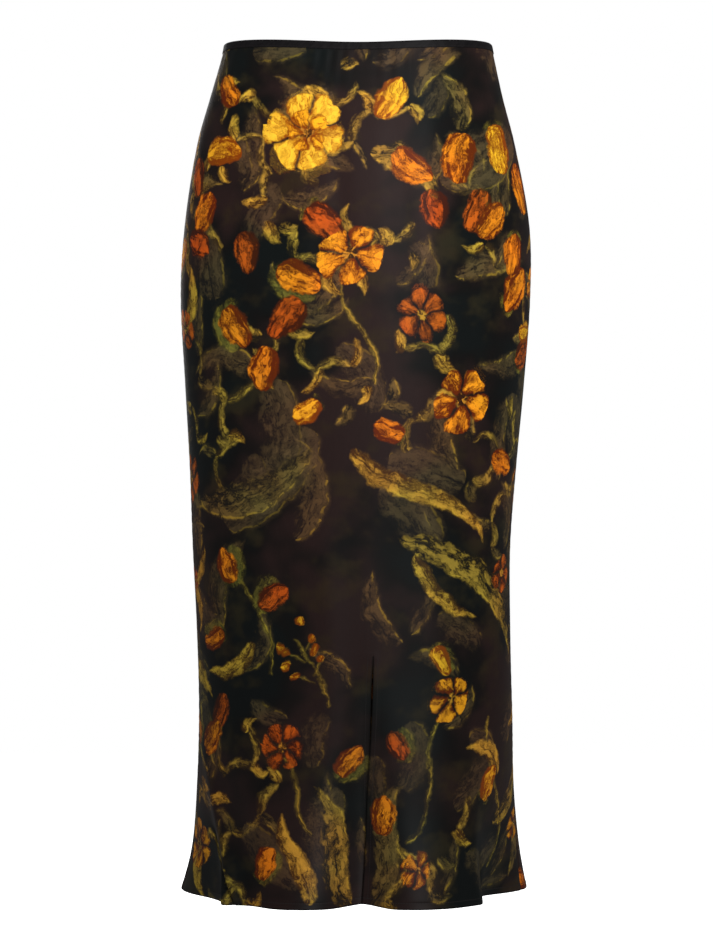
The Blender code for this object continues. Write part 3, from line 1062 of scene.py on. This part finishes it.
    ring = limit > RING
    heart = (radius - length * HEART + (flecks - 0.5) * 6.0).eased(1.2, -0.6) * ring
    seeds = blended(coarse.eased(0.46, 0.56), SEED_BROWN, SEED_OCHRE)
    colour = blended(heart, colour, seeds)

    # thin paint has soft edges, and all paint has ragged ones
    soft = (1.0 - body) * SOFT_EDGE + FIRM_EDGE
    ragged = (coarse - 0.5) * STREAK_RAGGED + (flecks - 0.5) * FLECK_RAGGED
    cover = (inside + ragged).eased(soft * -0.6, soft)
    cover = cover.at_least(heart) * (body * (haze * 0.8 + 0.6)).clamped()
    cover = cover * (length > 0.5)
    result = tree.nodes.new("NodeGroupOutput")
    hint = cover * NEXT_TO_NOTHING
    painted = blended(cover, given["Under"], colour)
    feed(result, {"Out": painted, "Next": join(hint, hint, hint)})
    return tree


GROUND_BLACK = linear(15, 13, 13)
GROUND_BLUE = linear(14, 16, 17)
GROUND_PLUM = linear(35, 26, 25)
GROUND_MOSS = linear(43, 36, 24)
CLOUD_SIZE, VEIL_SIZE, WANDER_SIZE = 95, 38, 22  # of the drifts in the ground, in millimetres
WARP = 13.0  # how far the motifs' outlines wander, in millimetres
# the print's hue drifts between these two over the cloth
RUST_TINT = (1.1, 0.93, 0.9)
GREEN_TINT = (0.9, 1.03, 0.95)
DIMMEST = 0.45  # painted shade darkens the print towards the hem: its brightness there, as a share of that at the top
DIM_REACH = (-60.0, 760.0)  # from which v to which it falls, in millimetres


def printed_colour(tree, motif):
    """The print's colour, with painted shade that darkens it towards the hem, and the flat cloth's
    place in millimetres.
    """
    flat = attribute(tree, "flat")
    u, v, patch = split(flat)
    stretched = join(u * 0.7 + v * 0.4, v * 0.8 - u * 0.3, patch)
    clouds = noise_value(stretched, 1 / CLOUD_SIZE, 3.0, 0.5)
    veils = noise_value(stretched, 1 / VEIL_SIZE, 3.0, 0.6)
    colour = blended(clouds.eased(0.38, 0.5), GROUND_BLUE, GROUND_BLACK)
    colour = blended(clouds.eased(0.46, 0.6), colour, GROUND_PLUM)
    colour = blended(veils.eased(0.5, 0.7) * 0.8, colour, GROUND_MOSS)
    x, y, haze = split(noise(flat, 1 / WANDER_SIZE, 3.0)["Color"])
    warp = join((x - 0.5) * WARP, (y - 0.5) * WARP, haze)
    turn = scaled(warp, NEXT_TO_NOTHING)
    for layer in range(LAYERS):
        values = {"Under": colour, "Turn": turn, "Warp": warp}
        for name in MOTIF_INPUTS:
            values[name] = attribute(tree, f"{name.lower()}_{layer}")
        made = add_node("Group", values, node_tree=motif)
        colour, turn = made.outputs["Out"], made.outputs["Next"]
    hue_and_painted_shade = blended(clouds.eased(0.6, 0.4), RUST_TINT, GREEN_TINT)
    # painted shade: the colour is darkened down the skirt, as if less light reached the hem
    hue_and_painted_shade = scaled(hue_and_painted_shade, 1.0 - v.eased(*DIM_REACH) * (1.0 - DIMMEST))
    return vector_math("MULTIPLY", colour, hue_and_painted_shade), flat


INNER_GROUND = linear(24, 20, 20)
INNER_SHARE = 0.5  # how much of the print is lost on the cloth's inner side
THREAD_BLACK = linear(25, 22, 22)
STITCH_LINE = 6.2  # how far the stitches of a turned hem lie from its edge, in millimetres
STITCH_PITCH = 2.6
SATIN_ROUGHNESS = 0.42  # at the least; the grain adds to it
INNER_ROUGHNESS = 0.6
SATIN_GLOSS = 0.07
GLOSS_ROUGHNESS = 0.4
SATIN_RELIEF = 0.16 * MM  # how far the bump's height of 1 stands out
SLUB_HEIGHT = 0.5
THREAD_HEIGHT = 0.9
EDGE_SHADE = 0.65  # how much painted shade darkens the rolled edge of the slit and the hem


def stitches(off_edge, along):
    """1 on the stitches of a line at STITCH_LINE from an edge."""
    on_line = 1.0 - abs(off_edge - STITCH_LINE).eased(0.15, 0.6)
    dash = abs((along / STITCH_PITCH).math("FRACT") - 0.5)
    return on_line * (1.0 - dash.eased(0.3, 0.42))


def slubs(across, along, patch):
    """The thread-thick unevenness of satin, drawn out along its shiny threads."""
    fine = noise_value(join(across * 1.6, along * 0.16, patch), 1.0, 2.0, 0.7)
    broad = noise_value(join(across * 0.3, along * 0.05, patch + 7.0), 1.0, 2.0, 0.6)
    return fine * 0.6 + broad * 0.4


def new_material(name):
    """A new material, its node tree and its shader's node."""
    material = bpy.data.materials.new(name)
    material.use_nodes = True
    return material, material.node_tree, material.node_tree.nodes["Principled BSDF"]


def satin(name, look, roughness):
    """A satin material. look(tree) gives its colour, its grain and its stitches. The gloss is a
    thin soft coat, because plain gloss this faint would flare at the rims."""
    material, tree, shader = new_material(name)
    colour, grain, thread = look(tree)
    rough = grain * 0.3 + roughness
    height = {"Height": grain * SLUB_HEIGHT + thread * THREAD_HEIGHT, "Distance": SATIN_RELIEF}
    feed(shader, {
        "Base Color": colour,
        "Roughness": rough,
        "Normal": add_node("Bump", height).outputs[0],
        "Specular IOR Level": 0.0,
        "Coat Weight": SATIN_GLOSS,
        "Coat Roughness": GLOSS_ROUGHNESS,
    })
    return material


def printed_look(motif, inner_share, tree):
    """The print with its grain, the stitched hems and painted shade along their rolled edges.
    inner_share of it is lost in the ground.
    """
    colour, flat = printed_colour(tree, motif)
    u, v, patch = split(flat)
    _, slit, hem = split(attribute(tree, "sewn"))
    thread = stitches(hem, u).at_least(stitches(slit, v))
    grain = slubs(u, v, patch)
    if inner_share:
        colour = blended(inner_share, colour, INNER_GROUND)
    colour = blended(thread * 0.8, colour, THREAD_BLACK)
    # painted shade: the colour is darkened along the rolled edges of the slit and the hem, where
    # they catch less light
    painted_edge_shade = (1.0 - slit.at_most(hem).eased(0.6, 2.2)) * EDGE_SHADE
    return scaled(colour, (1.0 - painted_edge_shade) * (grain * 0.5 + 0.75)), grain, thread


BINDING_BLACK = linear(11, 10, 11)
BINDING_GREY = linear(22, 20, 21)


def binding_look(tree):
    """Black satin cut on the bias, with the line of stitches that holds it."""
    around, drop, off_edge = split(attribute(tree, "band"))
    grain = slubs(around + drop, around - drop, 3.0)
    thread = stitches(off_edge, around)
    colour = blended(grain.eased(0.35, 0.65), BINDING_BLACK, BINDING_GREY)
    return blended(thread * 0.7, colour, THREAD_BLACK), grain, thread


# ---- Camera, floor and light

FRAME_HEIGHT = 0.951  # how much of the skirt's plane the view takes in, top to bottom
CAMERA_DISTANCE = 3.0
CAMERA_HEIGHT = -0.4275
SENSOR = 36.0
FLOOR_HEIGHT = CAD_BOX[0][2] - 0.42
FLOOR_SIZE = 12.0
FLOOR_GREY = (0.8, 0.8, 0.8)
FLOOR_GLOW = 0.75
WHITE = (1.0, 1.0, 1.0)
SOFTBOX_SIZE = (1.4, 2.4)
FILL = 0.38  # the strength of the even light from all round


def add_camera():
    data = bpy.data.cameras.new("camera")
    data.sensor_width = SENSOR
    data.lens = SENSOR * CAMERA_DISTANCE / FRAME_HEIGHT
    camera = add_object("camera", data)
    camera.location = (0.0, -CAMERA_DISTANCE, CAMERA_HEIGHT)
    camera.rotation_euler = (pi / 2, 0.0, 0.0)
    bpy.context.scene.camera = camera


def add_softbox(name, location, watts):
    """A large soft light aimed at the middle of the skirt."""
    data = bpy.data.lights.new(name, "AREA")
    data.shape = "RECTANGLE"
    data.size, data.size_y = SOFTBOX_SIZE
    data.energy = watts
    lamp = add_object(name, data)
    lamp.location = location
    aim = Vector((0.0, 0.0, CAMERA_HEIGHT)) - lamp.location
    lamp.rotation_euler = aim.to_track_quat("-Z", "Y").to_euler()


def white_behind(tree):
    """1 where the camera, a reflection or a see-through surface looks straight at it."""
    path = tree.nodes.new("ShaderNodeLightPath").outputs
    seen = Signal(path["Is Camera Ray"])
    for kind in ("Is Glossy Ray", "Is Transmission Ray"):
        seen = seen.at_least(path[kind])
    return seen


def add_world():
    world = bpy.data.worlds.new("studio")
    bpy.context.scene.world = world
    world.use_nodes = True
    tree = world.node_tree
    strength = white_behind(tree) * (1.0 - FILL) + FILL
    feed(tree.nodes["Background"], {"Color": WHITE, "Strength": strength})


def floor_material():
    """White where the camera sees it, and pale in what it gives back; the shadow stays on it."""
    material, tree, shader = new_material("studio_floor")
    feed(shader, {
        "Base Color": FLOOR_GREY,
        "Roughness": 0.9,
        "Specular IOR Level": 0.0,
        "Emission Color": WHITE,
        "Emission Strength": white_behind(tree) * FLOOR_GLOW,
    })
    return material


def add_floor():
    half = FLOOR_SIZE / 2
    ground = [(-half, -half), (half, -half), (half, half), (-half, half)]
    corners = np.array([(x, y, FLOOR_HEIGHT) for x, y in ground])
    mesh_object("floor", corners, np.array([[0, 1, 2, 3]]), [floor_material()])


# ---- The pieces

def printed_panel(name, node, grid, design, seed, materials):
    obj = shell_mesh(name, grid, materials)
    cloth = Cloth(grid, seed)
    cloth.paint(design)
    cloth.write(obj.data)
    flat = np.column_stack([grid.flat, np.full(len(grid.flat), seed * 50.0)])
    give_attribute(obj.data, "flat", "POINT", np.concatenate([flat, flat]))
    give_attribute(obj.data, "sewn", "POINT", np.concatenate([grid.sewn, grid.sewn]))
    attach(obj, "root")
    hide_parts(node)


BINDING_COLUMNS = 360
BINDING_ARC = 8
BINDING_RIPPLE = 0.12 * MM
BINDING_WAVE = (0.9, 2.2, 0.13)
BINDING_PER_DEGREE = 2.03  # millimetres along the binding for a degree round it
STITCHES_UP = 1.5  # how far the binding's stitches lie above its lower edge, in millimetres


def binding_profile():
    """(outward, drop) up the binding's outside, over its top and down its inside."""
    outside = BAND_CLEARANCE + BAND_WALL
    inside = -(CLOTH_THICKNESS + BAND_CLEARANCE + BAND_WALL)
    middle, radius = (outside + inside) / 2, (outside - inside) / 2
    rows = [(outside, BAND_DEPTH * share) for share in (1.0, 0.94, 0.84, 0.7, 0.55, 0.4)]
    for i in range(BINDING_ARC + 1):
        turn = pi * i / BINDING_ARC
        rows.append((middle + radius * cos(turn), radius * (1.0 - sin(turn))))
    return rows + [(inside, BAND_DEPTH * share) for share in (0.4, 0.7, 1.0)]


def waist_binding(material):
    angle = np.linspace(-180.0, 180.0, BINDING_COLUMNS + 1)[None, :-1]
    ripple = BINDING_RIPPLE * wavy(angle, *BINDING_WAVE) * np.sin(angle * 0.31)
    rows = [
        cloth_point(angle, dropped(angle, np.full(angle.shape, drop)), outward + ripple)[0]
        for outward, drop in binding_profile()
    ]
    count = len(rows)
    index = np.arange(count * BINDING_COLUMNS).reshape(count, BINDING_COLUMNS)
    index = np.concatenate([index, index[:, :1]], axis=1)
    obj = mesh_object("waist_binding", np.concatenate(rows), quads(index[::-1]), [material])
    around = np.tile(angle[0] * BINDING_PER_DEGREE, count)
    drop = np.repeat([row[1] / MM for row in binding_profile()], BINDING_COLUMNS)
    off_edge = STITCH_LINE + drop - (BAND_DEPTH / MM - STITCHES_UP)
    give_attribute(obj.data, "band", "POINT", np.column_stack([around, drop, off_edge]))
    wall = obj.modifiers.new("Wall", "SOLIDIFY")
    wall.thickness = BAND_WALL
    wall.offset = -1.0
    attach(obj, "root")
    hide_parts("waist_band")


add_camera()
add_softbox("front_softbox", (1.0, -3.3, 0.8), 128)
add_softbox("back_softbox", (-1.0, 3.3, 0.8), 108)
add_world()
add_floor()
painted = motif_group()
printed_satin = [
    satin("printed_satin_face", partial(printed_look, painted, 0.0), SATIN_ROUGHNESS),
    satin("printed_satin_back", partial(printed_look, painted, INNER_SHARE), INNER_ROUGHNESS),
]
printed_panel("front_cloth", "front_panel", front_grid(), FRONT_DESIGN, 1, printed_satin)
printed_panel("back_cloth", "back_panel", back_grid(), BACK_DESIGN, 2, printed_satin)
waist_binding(satin("black_satin_binding", binding_look, SATIN_ROUGHNESS))
bpy.context.scene.view_settings.view_transform = "Standard"
